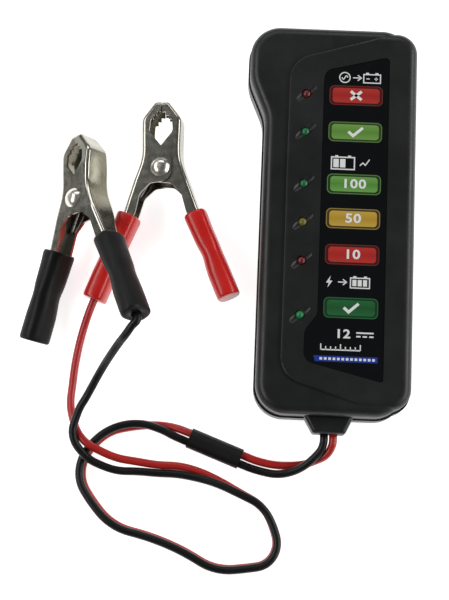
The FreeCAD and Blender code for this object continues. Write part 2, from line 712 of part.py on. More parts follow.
def inner_leads():
    """The ends of the leads inside the case, from the outlet to the board."""
    half = dim("lead_spacing") / 2
    strip = dim("strip_end")
    for name, x in (("black_lead_stub", dim("outlet_centre") - half),
                    ("red_lead_stub", dim("outlet_centre") + half)):
        length = strip - dim("outlet_end")
        node(cylinder(name, dim("lead_diameter"), length, x, dim("outlet_end"), PARTING, ALONG_Y), name)
    wire = dim("conductor_diameter")
    run = dim("conductor_y") - strip
    rise = BOARD_TOP + 0.8 - PARTING
    elbow = doc.addObject("Part::Sphere", "conductor_elbow")
    bind(elbow, Radius=wire / 2)
    conductor = fuse("stub_conductor", cylinder("conductor_run", wire, run, 0, -run, 0, ALONG_Y), elbow,
                     cylinder("conductor_rise", wire, rise))
    node(copies("stub_conductors", conductor,
                [at(x, y, PARTING.value) for x, y in conductor_spots()]), "stub_conductors")
    outside = new_body("tie_outside")
    bore = dim("lead_diameter") / 2 + 0.05
    wide = dim("tie_width")
    pad(outside, "tie_outside_pad", stadium(half, bore + dim("tie_thick")), 0, wide)
    inside = new_body("tie_inside")
    pad(inside, "tie_inside_pad", stadium(half, bore), -1, wide + 1.4)
    head = box("tie_head", (half + bore + 0.8, -2, -0.4), (half + bore + 4.0, 2, wide + 0.4))
    tie = node(cut("cable_tie", fuse("tie_solid", outside, head), inside), "cable_tie")
    tie.Placement = at(dim("outlet_centre").value, dim("tie_y").value, PARTING.value,
                       Rotation(Vector(1, 0, 0), 90))


# ---------------------------------------------------------------- clips

SHEET = dim("sheet")
CLIP_HALF = dim("clip_width") / 2
INNER_HALF = CLIP_HALF - SHEET - dim("nest_gap")
HANDLE_RATIO = 0.7
HANDLE_END_U = 17.6
HANDLE_END_V = -28.0
JAW_SHOULDER_U = 6.7
JAW_SHOULDER_V = 17.2
NOSE_U = 2.3
WAIST_V = 3.5


def clip_place(colour):
    spot = [dim(f"{colour}_clip_{axis}").value for axis in "xyz"]
    turn, tilt, pitch = [dim(f"{colour}_clip_{word}").value for word in ("turn", "tilt", "pitch")]
    return Placement(Vector(*spot), Rotation(turn, tilt, pitch))


def flange_corners(side):
    """Side view of one half: tip, back, handle, ear around the rivet, throat and teeth."""
    ear = dim("ear_radius")
    tip = dim("jaw_tip")
    # the inner edge of the handle runs along the grip, 3.3 mm inside its outer edge
    corners = [(0.15, tip, 0), (NOSE_U, tip, 1.2), (JAW_SHOULDER_U, JAW_SHOULDER_V, 4.5),
               (JAW_SHOULDER_U - 0.4, WAIST_V, 18), (HANDLE_END_U, HANDLE_END_V, 0),
               (HANDLE_END_U - 3.3, HANDLE_END_V - 1.0, 0.8), (8.6, -14.8, 3), (7.0, -8.8, 3),
               (3.4, -5.4, 2.5), (-ear, -4.6, ear - 0.1),
               (-ear, ear, ear - 0.6), (0.15, 7.8, 0.4), (4.0, 12.6, 2.6), (3.6, 16.9, 0.5),
               (2.5, 16.7, 0.2), (2.6, 18.2, 0.2), (1.5, 18.0, 0.2), (1.5, 19.5, 0.2),
               (0.15, 19.3, 0.2)]
    return [(sized(u) * side, v, radius) for u, v, radius in corners]


def back_corners(half_width, shrink):
    """Back view of one half: full width at the rivet, narrower at the tip and the handle."""
    full = half_width - shrink
    narrow = CLIP_HALF * HANDLE_RATIO - shrink
    right = [(-32, narrow, 0), (-15, narrow, 12), (-5, full, 12), (11, full, 12), (30, narrow, 0)]
    left = [(v, -w, radius) for v, w, radius in reversed(right)]
    return right + left


def inside_corners(side):
    """Side view of the hollow between the flanges, one sheet in from the back."""
    step = SHEET * 1.12
    reach = 9
    corners = [(-reach, dim("jaw_tip") - step, 0), (sized(NOSE_U) - step * 0.5, dim("jaw_tip") - step, 0.8),
               (sized(JAW_SHOULDER_U) - step, sized(JAW_SHOULDER_V) - step * 0.4, 4),
               (sized(JAW_SHOULDER_U) - 0.4 - step, WAIST_V, 18),
               (sized(HANDLE_END_U) - step + 1.5, HANDLE_END_V - 4.1, 0), (-reach, HANDLE_END_V - 4.1, 0)]
    return [(u * side if isinstance(u, Size) else sized(u * side), v, radius)
            for u, v, radius in corners]


def prism(name, corners, plane, low, high):
    """Pad an outline along the normal of one origin plane, in a body of its own."""
    body = new_body(name)
    pad(body, f"{name}_pad", corners, low, high, plane)
    return body


def back_edges(solid, side):
    """The edges where the back of a half bends into its two flanges."""

    def filled(point, shift):
        probe = Vector(point.x + shift * side, point.y, point.z * 0.93)
        return solid.Shape.isInside(probe, 1e-4, False)

    names = []
    for number, edge in enumerate(solid.Shape.Edges, start=1):
        middle = edge.valueAt((edge.FirstParameter + edge.LastParameter) / 2)
        on_flange = abs(middle.z) > 1.5 and middle.y > HANDLE_END_V + 0.4
        if on_flange and filled(middle, -0.2) and not filled(middle, 0.2) and not filled(middle, 1.2):
            names.append(f"Edge{number}")
    return names


def jaw(name, side, half_width):
    """One folded sheet-metal half; side is -1 for the left half and 1 for the right."""
    # the side view is cut deeper than the back view is wide, so that no faces coincide
    deep = half_width + 1
    solid = common(f"{name}_solid",
                   prism(f"{name}_side", flange_corners(side), "XY_Plane", -deep, deep),
                   prism(f"{name}_back", back_corners(half_width, sized(0)), "YZ_Plane", -20, 20))
    hollow = common(f"{name}_hollow",
                    prism(f"{name}_inside", inside_corners(side), "XY_Plane", -half_width, half_width),
                    prism(f"{name}_inner_back", back_corners(half_width, SHEET), "YZ_Plane", -20, 20))
    doc.recompute()
    bent = new_body(f"{name}_bent")
    bent.BaseFeature = solid
    doc.recompute()
    bends = bent.newObject("PartDesign::Fillet", f"{name}_bends")
    bends.Base = (bent.Group[0], back_edges(bent.Group[0], side))
    bind(bends, Radius=dim("bend_round"))
    hole = cylinder(f"{name}_rivet_hole", dim("rivet_diameter") + dim("rivet_play") * 2, 20, 0, 0, -10)
    return cut(name, bent, hollow, hole)


def grip(name, side, drilled):
    """Moulded sleeve over one handle, drilled at the end where a lead comes in."""
    half_width, half_depth = dim("grip_width") / 2, dim("grip_depth") / 2
    corner = half_width - 0.3
    length = dim("grip_length")
    body = new_body(name)
    outer = pad(body, f"{name}_pad", [(-half_width, -half_depth, corner), (half_width, -half_depth, corner),
                                      (half_width, half_depth, corner), (-half_width, half_depth, corner)],
                0, length)
    round_face(body, f"{name}_round", outer, length, dim("grip_end_round"))
    mouth = sketch_in(body, f"{name}_mouth", 0)
    half_x, half_y = dim("grip_pocket_width") / 2, dim("grip_pocket_height") / 2
    add_outline(mouth, [(-half_x, -half_y, 0.8), (half_x, -half_y, 0.8), (half_x, half_y, 0.8),
                        (-half_x, half_y, 0.8)])
    pocket(body, f"{name}_pocket", mouth, dim("grip_pocket_depth"), upwards=True)
    if drilled:
        entry = sketch_in(body, f"{name}_entry", 0)
        add_circle(entry, 0, 0, dim("lead_diameter") + 0.4)
        pocket(body, f"{name}_drill", entry, length + 1, upwards=True)
    return body


def grip_place(colour, side):
    """Placement of a grip: its Z axis runs down the handle from the grip's mouth."""
    across = Rotation(Vector(0, 0, 1), dim("grip_slope").value * side) * Rotation(Vector(1, 0, 0), 90)
    local = at(side * dim("grip_top_u").value, dim("grip_top_v").value, 0, across)
    return clip_place(colour) * local


def rivet(name):
    radius, head = dim("rivet_diameter") / 2, dim("rivet_head") / 2
    face = CLIP_HALF + dim("rivet_play")
    crown = face + dim("rivet_head_height")
    # each head is a low dome on a thin straight rim
    rim, brow = face + 0.3, head * 0.58
    return revolved(name, [(0, -crown, 0), (brow, -crown, 3), (head, -rim, 0.2), (head, -face, 0),
                           (radius, -face, 0), (radius, face, 0), (head, face, 0), (head, rim, 0.2),
                           (brow, crown, 3), (0, crown, 0)])


def spring_path():
    """Left arm, coil around the rivet and right arm as one smooth wire."""
    radius = dim("spring_radius").value
    height = dim("spring_height").value
    foot_u, foot_v = 8.5, -8.5
    reach = math.hypot(foot_u, foot_v)
    leave = math.atan2(foot_v, foot_u) + math.acos(radius / reach)
    whole_turns = 3
    sweep = whole_turns * 2 * math.pi + (math.pi - 2 * leave)
    climb = height / sweep
    arm = math.sqrt(reach ** 2 - radius ** 2)
    rise = climb * arm / radius
    pitch = climb * 2 * math.pi
    coil = Part.makeHelix(pitch, height, radius, 0, True)
    coil.Placement = at(0, 0, -height / 2, Rotation(Vector(0, 0, 1), math.degrees(math.pi - leave)))
    top = Vector(radius * math.cos(leave), radius * math.sin(leave), height / 2)
    low = Vector(-top.x, top.y, -height / 2)
    left = Part.makeLine(Vector(-foot_u, foot_v, -height / 2 - rise), low)
    right = Part.makeLine(top, Vector(foot_u, foot_v, height / 2 + rise))
    return Part.Wire([left] + coil.Edges + [right])


def swept(name, path, diameter):
    """A round rod along a path: the path is a free curve, the rod is bound to the sheet."""
    spine = doc.addObject("Part::Feature", f"{name}_path")
    spine.Shape = path
    first = path.Edges[0]
    circle = doc.addObject("Part::Circle", f"{name}_section")
    bind(circle, Radius=sized(diameter) / 2)
    start = first.valueAt(first.FirstParameter)
    circle.Placement = Placement(start, Rotation(Vector(0, 0, 1), first.tangentAt(first.FirstParameter)))
    rod = doc.addObject("Part::Sweep", name)
    rod.Sections = [circle]
    rod.Spine = (spine, [f"Edge{number}" for number in range(1, len(path.Edges) + 1)])
    rod.Solid = True
    return rod


def clip(colour, fixed_side):
    """Both halves, rivet, spring and grips of one clip, put at its place on the table."""
    place = clip_place(colour)
    # the moving half nests inside the fixed one
    halves = {fixed_side: ("fixed", CLIP_HALF), -fixed_side: ("moving", INNER_HALF)}
    for side, (word, half_width) in halves.items():
        half = node(jaw(f"{colour}_{word}_jaw", side, half_width), f"{colour}_{word}_jaw")
        half.Placement = place
        sleeve = node(grip(f"{colour}_{word}_grip", side, side == fixed_side), f"{colour}_{word}_grip")
        sleeve.Placement = grip_place(colour, side)
    pin = node(rivet(f"{colour}_rivet"), f"{colour}_rivet")
    pin.Placement = place
    spring = node(swept(f"{colour}_spring", spring_path(), dim("spring_wire")), f"{colour}_spring")
    spring.Placement = place


# ---------------------------------------------------------------- leads

# a bow in millimetres too small to draw as an arc
STRAIGHT = 1e-4
LEAD_LIFT = dim("lead_diameter").value / 2 + 0.2
OUTLET_MOUTH = dim("outlet_end") - dim("lead_gap")
SPLICE_START = Vector(-29.1, -79.8, 3.4)
SPLICE_END = Vector(-46.2, -73.4, 3.4)
# x, y and height of the pair's middle (None: it lies on the table), then the angle at which
# the red lead lies from the pair's left-hand side
TWIN_ROUTE = [(dim("outlet_centre").value, OUTLET_MOUTH.value, PARTING.value, 0),
              (-1.2, -75.5, 8.0, -20), (-5.6, -79.6, 5.6, -80), (-14.0, -82.6, 4.0, -150),
              (-25.2, -81.2, 3.4, -180), (-28.0, -80.2, 3.4, -180), (-47.3, -73.0, 3.4, -180),
              (-50.1, -72.0, 3.3, -165), (-55.8, -70.3, 3.1, -120), (-62.0, -69.7, None, -85),
              (-75.5, -74.2, None, -80), (-81.6, -84.5, None, -78), (-74.5, -98.9, None, -78),
              (-52.0, -108.3, None, -80), (-30.0, -115.7, None, -81), (-17.0, -110.5, None, -84),
              (-18.9, -98.6, None, -90), (-33.0, -89.0, None, -108), (-46.5, -84.6, None, -150)]
# where each lead goes alone, from the end of the pair to its clip
OWN_ROUTES = {
    "red": [(-59.5, -82.4, 3.4), (-73.4, -79.9, 6.6), (-81.5, -75.2, 7.4), (-85.4, -67.2, 5.6),
            (-85.9, -54.5, 2.6), (-84.2, -41.5, 2.4)],
    "black": [(-59.3, -85.3, 3.4), (-72.9, -84.4, 6.5), (-80.0, -80.9, 7.9), (-84.2, -74.8, 9.2),
              (-82.9, -67.2, 10.9), (-79.6, -61.0, 13.0), (-75.3, -53.8, 18.5),
              (-70.2, -47.3, 27.0), (-65.6, -42.0, 33.4)],
}


def twin_points(side):
    """Middle line of one lead while the two run together; side is 1 for red, -1 for black."""
    spacing = dim("lead_spacing").value / 2
    points = []
    for index, (x, y, height, turn) in enumerate(TWIN_ROUTE):
        ahead = TWIN_ROUTE[min(index + 1, len(TWIN_ROUTE) - 1)]
        behind = TWIN_ROUTE[max(index - 1, 0)]
        along = Vector(ahead[0] - behind[0], ahead[1] - behind[1], 0).normalize()
        # the pair leaves the outlet with its leads side by side along X
        left = Vector(-along.y, along.x, 0) if index else Vector(1, 0, 0)
        angle = math.radians(turn)
        if height is None:
            height = LEAD_LIFT + spacing * abs(math.sin(angle))
        offset = left * math.cos(angle) + Vector(0, 0, 1) * math.sin(angle)
        points.append(Vector(x, y, height) + offset * (spacing * side))
    return points


def heading(before, here, after):
    """Direction at the middle one of three points, along the circle through them."""
    back, ahead = here - before, after - here
    return (back * (ahead.Length / back.Length) + ahead * (back.Length / ahead.Length)).normalize()


def arc_between(start, corner, end):
    """The arc that touches the legs of an isosceles corner at their ends."""
    chord_middle = (start + end) / 2
    lean = (end - start).Length / 2 / (corner - start).Length
    arc_middle = chord_middle + (corner - chord_middle) * (lean / (1 + lean))
    if (arc_middle - chord_middle).Length < STRAIGHT:
        return Part.makeLine(start, end)
    return Part.Arc(start, arc_middle, end).toShape()


def arc_pair(start, out, end, into):
    """Two arcs that leave start along out, share a tangent and reach end along into."""
    gap = end - start
    pull = gap.dot(out + into)
    turn = 2 * (1 - out.dot(into))
    if turn < STRAIGHT ** 2:
        reach = gap.dot(gap) / (2 * pull)
    else:
        reach = (math.sqrt(pull ** 2 + turn * gap.dot(gap)) - pull) / turn
    corners = (start + out * reach, end - into * reach)
    joint = (corners[0] + corners[1]) / 2
    return [arc_between(start, corners[0], joint), arc_between(joint, corners[1], end)]


def smooth_path(points, out, into):
    """A line of tangent arcs through the points, leaving along out and ending along into."""
    headings = [heading(*three) for three in zip(points, points[1:], points[2:])]
    stations = list(zip(points, [out] + headings + [into]))
    edges = []
    for (start, start_heading), (end, end_heading) in zip(stations, stations[1:]):
        edges += arc_pair(start, start_heading, end, end_heading)
    return Part.Wire(edges)


def grip_point(colour, side, distance):
    """A point on a grip's axis, measured from its mouth."""
    return grip_place(colour, side).multVec(Vector(0, 0, distance))


def lead(colour, side, fixed_side):
    """One lead from the case outlet to its clip, crimped inside the clip's grip."""
    length, depth = dim("grip_length").value, dim("lead_depth").value
    # from just outside the grip onwards the lead lies on the grip's axis
    outside, entry, inner = [grip_point(colour, fixed_side, length - step) for step in (-1, 0, depth)]
    inwards = (inner - entry).normalize()
    own = [Vector(*point) for point in OWN_ROUTES[colour]]
    path = smooth_path(twin_points(side) + own + [outside, entry, inner], Vector(0, -1, 0), inwards)
    node(swept(f"{colour}_lead", path, dim("lead_diameter")), f"{colour}_lead")

    turn = Rotation(Vector(0, 0, 1), inwards)
    wire = cylinder(f"{colour}_wire", dim("conductor_diameter"), dim("bare_length"))
    node(copies(f"{colour}_conductor", wire, [Placement(inner, turn)]), f"{colour}_conductor")
    barrel = cylinder(f"{colour}_crimp_barrel", dim("crimp_diameter"), dim("crimp_length"))
    bore = cylinder(f"{colour}_crimp_bore", dim("conductor_diameter") + 0.06, 4, 0, 0, -1)
    ferrule = node(cut(f"{colour}_crimp", barrel, bore), f"{colour}_crimp")
    ferrule.Placement = Placement(inner + inwards * 0.7, turn)


def splice_sleeve():
    axis = SPLICE_END - SPLICE_START
    tube = cylinder("sleeve_tube", dim("sleeve_outside"), axis.Length)
    bore = cylinder("sleeve_hole", dim("sleeve_bore"), axis.Length + 2, 0, 0, -1)
    sleeve = node(cut("inline_sleeve", tube, bore), "inline_sleeve")
    sleeve.Placement = Placement(SPLICE_START, Rotation(Vector(0, 0, 1), axis))


# ---------------------------------------------------------------- assembly and export

def check(solid):
    shape = solid.Shape
    if shape.isNull() or not shape.isValid() or not shape.Solids:
        raise RuntimeError(f"{solid.Label} has no sound shape")


def main():
    front_cover()
    rear_cover()
    faceplate_label()
    lamps()
    circuit_board()
    electronics()
    screws()
    inner_leads()
    clip("red", -1)
    clip("black", 1)
    lead("red", 1, -1)
    lead("black", -1, 1)
    splice_sleeve()
    doc.recompute()
    for thing in doc.Objects:
        if "Invalid" in thing.State or "Error" in thing.State:
            raise RuntimeError(f"{thing.Name} failed: {thing.State}")
    os.makedirs("parts", exist_ok=True)
    for solid in nodes:
        check(solid)
        solid.Shape.exportStep(f"parts/{solid.Label}.step")


main()
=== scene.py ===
"""Looks of the battery tester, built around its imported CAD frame.

Lengths in this script are millimetres until a mesh is written, which turns them into metres.
The frame: the case lies on its back, +X to the right of the front face, +Y up it, +Z out of it.
"""
import json
import math

import bmesh
import bpy
from mathutils import Matrix, Vector


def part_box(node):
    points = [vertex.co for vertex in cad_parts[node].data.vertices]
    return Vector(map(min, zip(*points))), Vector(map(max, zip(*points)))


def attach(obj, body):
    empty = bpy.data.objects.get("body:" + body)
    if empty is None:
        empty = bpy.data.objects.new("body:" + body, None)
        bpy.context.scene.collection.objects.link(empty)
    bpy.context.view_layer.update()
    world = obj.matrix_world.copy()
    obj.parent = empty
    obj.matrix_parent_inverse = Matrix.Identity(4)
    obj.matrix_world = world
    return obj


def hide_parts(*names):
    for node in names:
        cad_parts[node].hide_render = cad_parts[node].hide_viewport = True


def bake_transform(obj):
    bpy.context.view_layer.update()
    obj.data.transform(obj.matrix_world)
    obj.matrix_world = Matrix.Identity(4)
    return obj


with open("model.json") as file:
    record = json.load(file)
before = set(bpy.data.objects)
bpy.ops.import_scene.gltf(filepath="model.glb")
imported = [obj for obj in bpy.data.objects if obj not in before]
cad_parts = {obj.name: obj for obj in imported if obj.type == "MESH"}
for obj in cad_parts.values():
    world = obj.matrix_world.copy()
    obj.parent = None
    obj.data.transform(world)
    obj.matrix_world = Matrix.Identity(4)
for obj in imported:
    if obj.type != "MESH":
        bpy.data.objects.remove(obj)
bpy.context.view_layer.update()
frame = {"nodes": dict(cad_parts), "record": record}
record = frame["record"]
MM = 0.001


# ---------------------------------------------------------------- helpers: frame

def node_box(name):
    """Lowest and highest corner of a CAD node, in millimetres."""
    low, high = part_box(name)
    return low / MM, high / MM


def joint_named(name):
    return next(joint for joint in record["behaviour"]["joints"] if joint["name"] == name)


def mount_named(name):
    return next(mount for mount in record["mounts"] if mount["name"] == name)


# ---------------------------------------------------------------- helpers: meshes

def mesh_object(name, vertices, faces, smooth=True):
    """A mesh object from millimetre points."""
    mesh = bpy.data.meshes.new(name)
    mesh.from_pydata([Vector(point) * MM for point in vertices], [], faces)
    mesh.validate()
    for face in mesh.polygons:
        face.use_smooth = smooth
    piece = bpy.data.objects.new(name, mesh)
    bpy.context.scene.collection.objects.link(piece)
    return piece


def fix_normals(piece):
    shape = bmesh.new()
    shape.from_mesh(piece.data)
    bmesh.ops.recalc_face_normals(shape, faces=shape.faces)
    shape.to_mesh(piece.data)
    shape.free()


def dress(piece, material, body):
    """Give a new piece its material and body."""
    piece.data.materials.clear()
    piece.data.materials.append(material)
    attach(piece, body)
    return piece


def ring_loft(name, rings, wrap=False):
    """Skin a list of equal rings of points into one closed surface, capped unless it wraps."""
    count = len(rings[0])
    vertices = [point for ring in rings for point in ring]
    faces = []
    levels = len(rings) if wrap else len(rings) - 1
    for level in range(levels):
        here, there = level * count, ((level + 1) % len(rings)) * count
        for step in range(count):
            following = (step + 1) % count
            faces.append((here + step, here + following, there + following, there + step))
    if not wrap:
        for ring_start, ring in ((0, rings[0]), ((len(rings) - 1) * count, rings[-1])):
            middle = sum((Vector(point) for point in ring), Vector()) / count
            vertices.append(middle)
            centre = len(vertices) - 1
            faces += [(centre, ring_start + step, ring_start + (step + 1) % count)
                      for step in range(count)]
    piece = mesh_object(name, vertices, faces)
    fix_normals(piece)
    return piece


def heading(before, here, after):
    """Direction at the middle one of three points, along the circle through them."""
    back, ahead = here - before, after - here
    return (back * (ahead.length / back.length) + ahead * (back.length / ahead.length)).normalized()


def arc_between(start, corner, end, steps):
    """Points along the arc that touches the legs of an isosceles corner at their ends."""
    weight = (end - start).length / 2 / (corner - start).length
    points = []
    for step in range(steps):
        after = step / steps
        before = 1 - after
        shares = before * before, 2 * before * after * weight, after * after
        points.append((start * shares[0] + corner * shares[1] + end * shares[2]) / sum(shares))
    return points


def smooth_line(points, out, into, steps):
    """Points along a line of tangent arcs, two between each pair of the given points."""
    headings = [heading(*three) for three in zip(points, points[1:], points[2:])]
    stations = list(zip(points, [out] + headings + [into]))
    line = []
    for (start, leave), (end, arrive) in zip(stations, stations[1:]):
        gap = end - start
        pull = gap.dot(leave + arrive)
        turn = 2 * (1 - leave.dot(arrive))
        reach = gap.dot(gap) / (2 * pull)
        if turn > 1e-7:
            reach = (math.sqrt(pull ** 2 + turn * gap.dot(gap)) - pull) / turn
        first, second = start + leave * reach, end - arrive * reach
        joint = (first + second) / 2
        line += arc_between(start, first, joint, steps) + arc_between(joint, second, end, steps)
    return line + [points[-1]]


def tube(name, line, radius, sides=20):
    """A round rod along a line of points, with a frame carried along without twist."""
    rings = []
    side = None
    for index, point in enumerate(line):
        ahead = line[min(index + 1, len(line) - 1)]
        behind = line[max(index - 1, 0)]
        along = (ahead - behind).normalized()
        if side is None:
            side = along.orthogonal().normalized()
        side = (side - along * side.dot(along)).normalized()
        other = along.cross(side)
        rings.append([point + (side * math.cos(turn) + other * math.sin(turn)) * radius
                      for turn in (2 * math.pi * step / sides for step in range(sides))])
    return ring_loft(name, rings)


# ---------------------------------------------------------------- helpers: materials

class Shader:
    """A principled material with short calls for the nodes that drive it."""

    def __init__(self, name, colour, roughness, metallic=0.0, coat=0.0):
        self.material = bpy.data.materials.new(name)
        self.material.use_nodes = True
        self.nodes = self.material.node_tree.nodes
        self.links = self.material.node_tree.links
        self.surface = self.nodes["Principled BSDF"]
        self.set("Base Color", (*colour, 1.0))
        self.set("Roughness", roughness)
        self.set("Metallic", metallic)
        self.set("Coat Weight", coat)
        self.set("Coat Roughness", 0.06)
        self.place = self.nodes.new("ShaderNodeTexCoord").outputs["Object"]

    def set(self, socket, value):
        self.surface.inputs[socket].default_value = value

    def noise(self, scale, detail):
        """Grey noise in object space; scale is in features per metre."""
        texture = self.nodes.new("ShaderNodeTexNoise")
        texture.inputs["Scale"].default_value = scale
        texture.inputs["Detail"].default_value = detail
        self.links.new(self.place, texture.inputs["Vector"])
        return texture.outputs["Fac"]

    def ramp(self, source, stops):
        """Colour ramp with stops given as (position, colour)."""
        node = self.nodes.new("ShaderNodeValToRGB")
        elements = node.color_ramp.elements
        while len(elements) < len(stops):
            elements.new(0.5)
        for element, (position, colour) in zip(elements, stops):
            element.position = position
            element.color = (*colour, 1.0)
        self.links.new(source, node.inputs["Fac"])
        return node.outputs["Color"]

    def span(self, source, low, high):
        """Map a 0 to 1 value onto the range low to high."""
        node = self.nodes.new("ShaderNodeMapRange")
        node.inputs["To Min"].default_value = low
        node.inputs["To Max"].default_value = high
        node.inputs["From Min"].default_value = 0.3
        node.inputs["From Max"].default_value = 0.7
        self.links.new(source, node.inputs["Value"])
        return node.outputs["Result"]

    def drive(self, socket, source):
        self.links.new(source, self.surface.inputs[socket])

    def bump(self, source, height, strength):
        """Bump of the given height in metres; calls add up."""
        node = self.nodes.new("ShaderNodeBump")
        node.inputs["Distance"].default_value = height
        node.inputs["Strength"].default_value = strength
        self.links.new(source, node.inputs["Height"])
        normal = self.surface.inputs["Normal"]
        if normal.links:
            self.links.new(normal.links[0].from_socket, node.inputs["Normal"])
        self.links.new(node.outputs["Normal"], normal)


def moulded_plastic(name, colour, roughness):
    """Moulded plastic: fine grain over broad, faint waves, a little lighter in patches."""
    shader = Shader(name, colour, roughness)
    fine = shader.noise(2600, 2.0)
    broad = shader.noise(45, 3.0)
    shader.bump(fine, 0.00002, 0.55)
    shader.bump(broad, 0.00008, 0.25)
    shader.drive("Roughness", shader.span(broad, roughness - 0.06, roughness + 0.07))
    light = tuple(channel * 1.35 + 0.002 for channel in colour)
    patches = shader.noise(160, 4.0)
    shader.drive("Base Color", shader.ramp(patches, [(0.35, colour), (0.75, light)]))
    shader.set("Specular IOR Level", 0.42)
    return shader.material


def soft_vinyl(name, colour, light, roughness, coat=0.0, specular=0.5):
    """Plasticised PVC: broad soft highlight under a thin clear skin."""
    shader = Shader(name, colour, roughness, coat=coat)
    broad = shader.noise(90, 3.0)
    fine = shader.noise(1400, 3.0)
    shader.drive("Base Color", shader.ramp(broad, [(0.3, colour), (0.75, light)]))
    wear = shader.noise(260, 4.0)
    shader.drive("Roughness", shader.span(wear, roughness - 0.05, roughness + 0.08))
    shader.bump(broad, 0.00012, 0.35)
    shader.bump(fine, 0.00001, 0.4)
    shader.set("Specular IOR Level", specular)
    shader.set("Coat Roughness", 0.16)
    shader.set("Subsurface Weight", 0.05)
    shader.set("Subsurface Radius", (0.002, 0.0008, 0.0006))
    return shader.material


def plated_metal(name, colour, roughness, tint=None):
    """Polished plating on pressed sheet: slow waves in the sheet, faint marks and tarnish."""
    shader = Shader(name, colour, roughness, metallic=1.0)
    cloud = shader.noise(70, 4.0)
    marks = shader.noise(420, 3.0)
    tint = tint or tuple(channel * 0.85 for channel in colour)
    shader.drive("Base Color", shader.ramp(cloud, [(0.3, tint), (0.65, colour)]))
    shader.drive("Roughness", shader.span(marks, roughness - 0.04, roughness + 0.05))
    shader.bump(cloud, 0.00025, 0.12)
    shader.bump(marks, 0.000008, 0.15)
    return shader.material


def tinted_epoxy(name, colour, rim_shade):
    """Diffused LED lens: coloured body with a painted shade that darkens it towards its foot, where
    it turns away from the camera, with a clear glossy skin.
    """
    shader = Shader(name, colour, 0.34, coat=0.25)
    weight = shader.nodes.new("ShaderNodeLayerWeight")
    weight.inputs["Blend"].default_value = 0.35
    # painted shade: the lens colour darkens towards the second, darker colour where its surface
    # turns away from the camera
    shader.drive("Base Color", shader.ramp(weight.outputs["Facing"], [(0.15, colour), (0.8, rim_shade)]))
    shader.bump(shader.noise(1800, 2.0), 0.000004, 0.3)
    shader.set("Coat Roughness", 0.22)
    shader.set("Subsurface Weight", 0.25)
    shader.set("Subsurface Radius", (0.001, 0.001, 0.001))
    return shader.material


def printed_ink(name, colour, light=None, low=0.0, high=1.0):
    """Ink on the label film; a second, lighter colour comes in towards two heights on it (mm)."""
    shader = Shader(name, colour, 0.3, coat=0.6)
    speck = shader.noise(3200, 2.0)
    if light is not None:
        parts = shader.nodes.new("ShaderNodeSeparateXYZ")
        shader.links.new(shader.place, parts.inputs["Vector"])
        spread = shader.nodes.new("ShaderNodeMapRange")
        spread.inputs["From Min"].default_value = low * MM
        spread.inputs["From Max"].default_value = high * MM
        shader.links.new(parts.outputs["Y"], spread.inputs["Value"])
        shader.drive("Base Color", shader.ramp(spread.outputs["Result"],
                                               [(0.0, light), (0.5, colour), (1.0, light)]))
    shader.drive("Roughness", shader.span(speck, 0.24, 0.4))
    shader.bump(speck, 0.000003, 0.4)
    return shader.material


CASE_BLACK = (0.0075, 0.0082, 0.0078)
case_plastic = moulded_plastic("case_plastic", CASE_BLACK, 0.38)
label_film = Shader("label_film", (0.0022, 0.0026, 0.0032), 0.2, coat=0.15)
label_film.set("Specular IOR Level", 0.3)
label_film.bump(label_film.noise(60, 2.0), 0.00006, 0.25)
label_film.drive("Roughness", label_film.span(label_film.noise(240, 4.0), 0.12, 0.24))
label_film = label_film.material
nickel = plated_metal("nickel_plate", (0.46, 0.445, 0.385), 0.2, (0.39, 0.375, 0.32))
rivet_nickel = plated_metal("rivet_nickel", (0.80, 0.78, 0.70), 0.27)
spring_steel = plated_metal("spring_steel", (0.5, 0.49, 0.47), 0.28)
zinc = plated_metal("zinc_plate", (0.55, 0.55, 0.55), 0.32)
tinned = plated_metal("tinned_wire", (0.7, 0.7, 0.68), 0.25)
copper = plated_metal("copper_strand", (0.72, 0.36, 0.2), 0.3, (0.5, 0.24, 0.12))
red_grip_vinyl = soft_vinyl("red_grip_vinyl", (0.56, 0.009, 0.006), (0.64, 0.014, 0.009), 0.3,
                            coat=0.25, specular=0.4)
black_grip_vinyl = soft_vinyl("black_grip_vinyl", (0.0045, 0.005, 0.005),
                              (0.008, 0.0085, 0.008), 0.42, specular=0.22)
red_lead_vinyl = soft_vinyl("red_lead_vinyl", (0.40, 0.010, 0.008), (0.48, 0.016, 0.012), 0.34,
                            coat=0.25)
black_lead_vinyl = soft_vinyl("black_lead_vinyl", (0.004, 0.0045, 0.0045),
                              (0.008, 0.008, 0.008), 0.34, specular=0.3)
shrink_tube = soft_vinyl("shrink_tube", (0.005, 0.005, 0.005), (0.009, 0.009, 0.009), 0.45,
                         specular=0.25)
nylon = moulded_plastic("tie_nylon", (0.6, 0.6, 0.55), 0.4)
chip_epoxy = moulded_plastic("chip_epoxy", (0.012, 0.012, 0.013), 0.55)
lacquer = moulded_plastic("resistor_lacquer", (0.48, 0.3, 0.14), 0.35)
diode_epoxy = moulded_plastic("diode_epoxy", (0.01, 0.01, 0.01), 0.3)
capacitor_sleeve = moulded_plastic("capacitor_sleeve", (0.01, 0.018, 0.09), 0.25)
glass_bead = moulded_plastic("glass_bead", (0.4, 0.1, 0.03), 0.12)
solder_mask = moulded_plastic("solder_mask", (0.01, 0.12, 0.035), 0.25)

LENSES = {
    "led_alternator_fault": tinted_epoxy("lens_red", (0.12, 0.006, 0.006), (0.04, 0.003, 0.003)),
    "led_alternator_good": tinted_epoxy("lens_green", (0.008, 0.13, 0.045), (0.004, 0.06, 0.025)),
    "led_battery_full": tinted_epoxy("lens_green_full", (0.008, 0.13, 0.045), (0.004, 0.06, 0.025)),
    "led_battery_middle": tinted_epoxy("lens_yellow", (0.16, 0.14, 0.012), (0.06, 0.055, 0.01)),
    "led_battery_low": tinted_epoxy("lens_red_low", (0.13, 0.005, 0.005), (0.04, 0.002, 0.002)),
    "led_ready": tinted_epoxy("lens_green_ready", (0.01, 0.2, 0.06), (0.004, 0.07, 0.025)),
}

